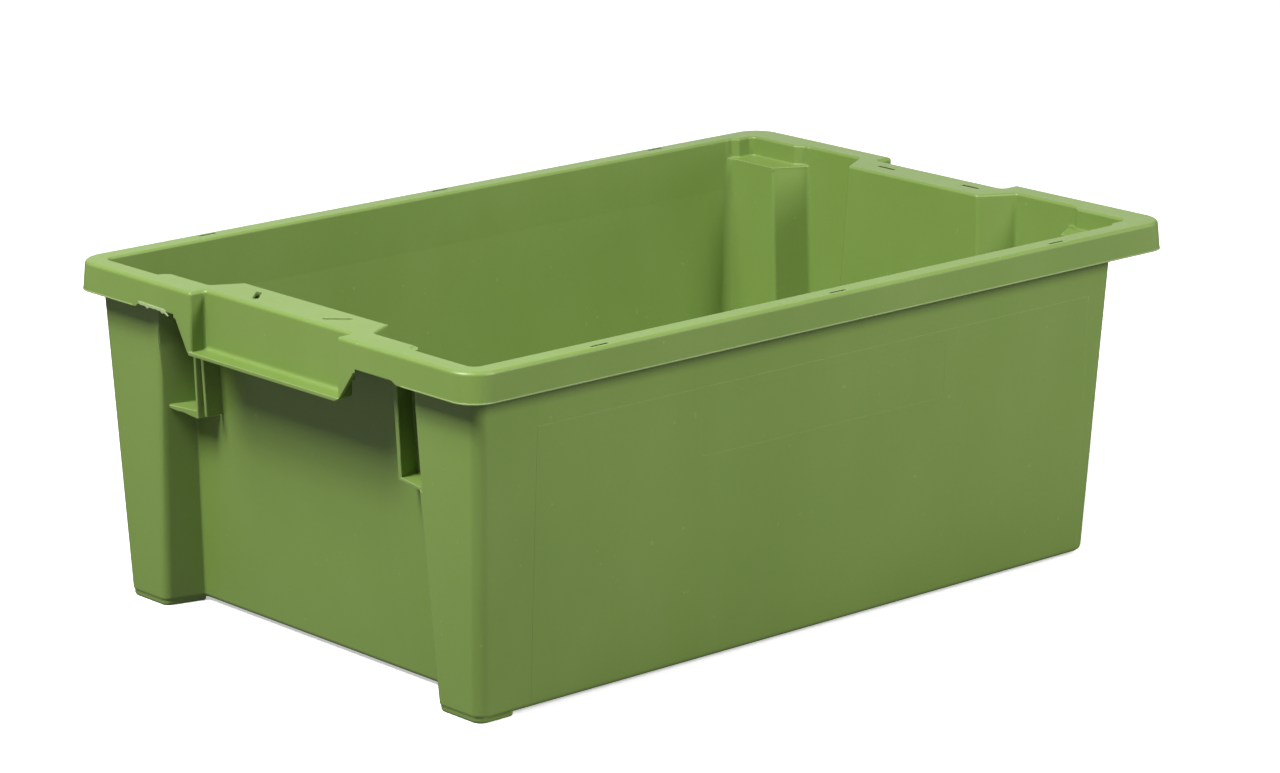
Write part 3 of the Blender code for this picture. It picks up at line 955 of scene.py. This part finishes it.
def floor_material():
    """The camera sees a pale, evenly bright sweep; the crate only receives a
    little light back from it, as from a sheet that falls away behind it."""
    mat = bpy.data.materials.new("floor")
    mat.use_nodes = True
    nodes, link = mat.node_tree.nodes, mat.node_tree.links.new
    nodes.clear()
    path = nodes.new("ShaderNodeLightPath")
    seen = nodes.new("ShaderNodeBsdfDiffuse")
    back = nodes.new("ShaderNodeBsdfDiffuse")
    glow = nodes.new("ShaderNodeEmission")
    seen.inputs["Color"].default_value = FLOOR_SEEN
    back.inputs["Color"].default_value = FLOOR_BACK
    glow.inputs["Strength"].default_value = FLOOR_GLOW
    total = nodes.new("ShaderNodeAddShader")
    pick = nodes.new("ShaderNodeMixShader")
    out = nodes.new("ShaderNodeOutputMaterial")
    link(seen.outputs[0], total.inputs[0])
    link(glow.outputs[0], total.inputs[1])
    link(path.outputs["Is Camera Ray"], pick.inputs[0])
    link(back.outputs[0], pick.inputs[1])
    link(total.outputs[0], pick.inputs[2])
    link(pick.outputs[0], out.inputs[0])
    return mat


def floor():
    bm = bmesh.new()
    bmesh.ops.create_grid(bm, x_segments=2, y_segments=2, size=6.0)
    ob = to_object_as_is("floor", bm)
    ob.data.materials.append(floor_material())


def to_object_as_is(name, bm):
    """Link a mesh without touching its normals."""
    mesh = bpy.data.meshes.new(name)
    bm.to_mesh(mesh)
    bm.free()
    ob = bpy.data.objects.new(name, mesh)
    bpy.context.scene.collection.objects.link(ob)
    return ob


def surroundings():
    world = bpy.data.worlds.new("world")
    bpy.context.scene.world = world
    world.use_nodes = True
    background = world.node_tree.nodes["Background"]
    background.inputs["Color"].default_value = (1.0, 1.0, 1.0, 1.0)
    background.inputs["Strength"].default_value = WORLD_STRENGTH


def direction(azimuth, elevation):
    """Unit vector away from the crate; azimuth 0 is -y, 90 is +x."""
    a, e = math.radians(azimuth), math.radians(elevation)
    return Vector((math.sin(a) * math.cos(e), -math.cos(a) * math.cos(e), math.sin(e)))


def soft_box(name, azimuth, elevation, distance, size, power):
    light = bpy.data.lights.new(name, "AREA")
    light.shape = "RECTANGLE"
    light.size, light.size_y = size
    light.energy = power
    ob = bpy.data.objects.new(name, light)
    bpy.context.scene.collection.objects.link(ob)
    back = direction(azimuth, elevation)
    ob.location = Vector(LIGHT_TARGET) + back * distance
    ob.rotation_mode = "QUATERNION"
    ob.rotation_quaternion = (-back).to_track_quat("-Z", "Y")


def camera():
    azimuth, elevation, roll = -41.606, 15.013, math.radians(-0.182)
    x, y, z = -1.97178, -2.22967, 0.69856 + TOP * MM
    back = direction(azimuth, elevation)
    level = Vector((math.cos(math.radians(azimuth)), math.sin(math.radians(azimuth)), 0.0))
    upright = back.cross(level)
    right = level * math.cos(roll) + upright * math.sin(roll)
    up = -level * math.sin(roll) + upright * math.cos(roll)
    cam = bpy.data.cameras.new("camera")
    ob = bpy.data.objects.new("camera", cam)
    bpy.context.scene.collection.objects.link(ob)
    cam.sensor_width = 36.0
    cam.lens = 132.36215625
    cam.clip_start, cam.clip_end = 0.1, 50.0
    ob.matrix_world = Matrix(((right.x, up.x, back.x, x),
                              (right.y, up.y, back.y, y),
                              (right.z, up.z, back.z, z),
                              (0.0, 0.0, 0.0, 1.0)))
    bpy.context.scene.camera = ob


floor()
surroundings()
soft_box("key", azimuth=-94.0, elevation=49.0, distance=2.6, size=(0.8, 0.8), power=73.0)
soft_box("key high", azimuth=-90.0, elevation=58.0, distance=2.6, size=(0.6, 0.6), power=30.0)
soft_box("side", azimuth=12.0, elevation=32.0, distance=2.6, size=(0.4, 1.1), power=47.0)
soft_box("end", azimuth=56.0, elevation=11.0, distance=2.6, size=(0.9, 0.9), power=11.0)
soft_box("backdrop", azimuth=142.0, elevation=14.0, distance=3.0, size=(3.2, 1.3), power=14.0)
camera()
bpy.context.scene.view_settings.view_transform = "Standard"
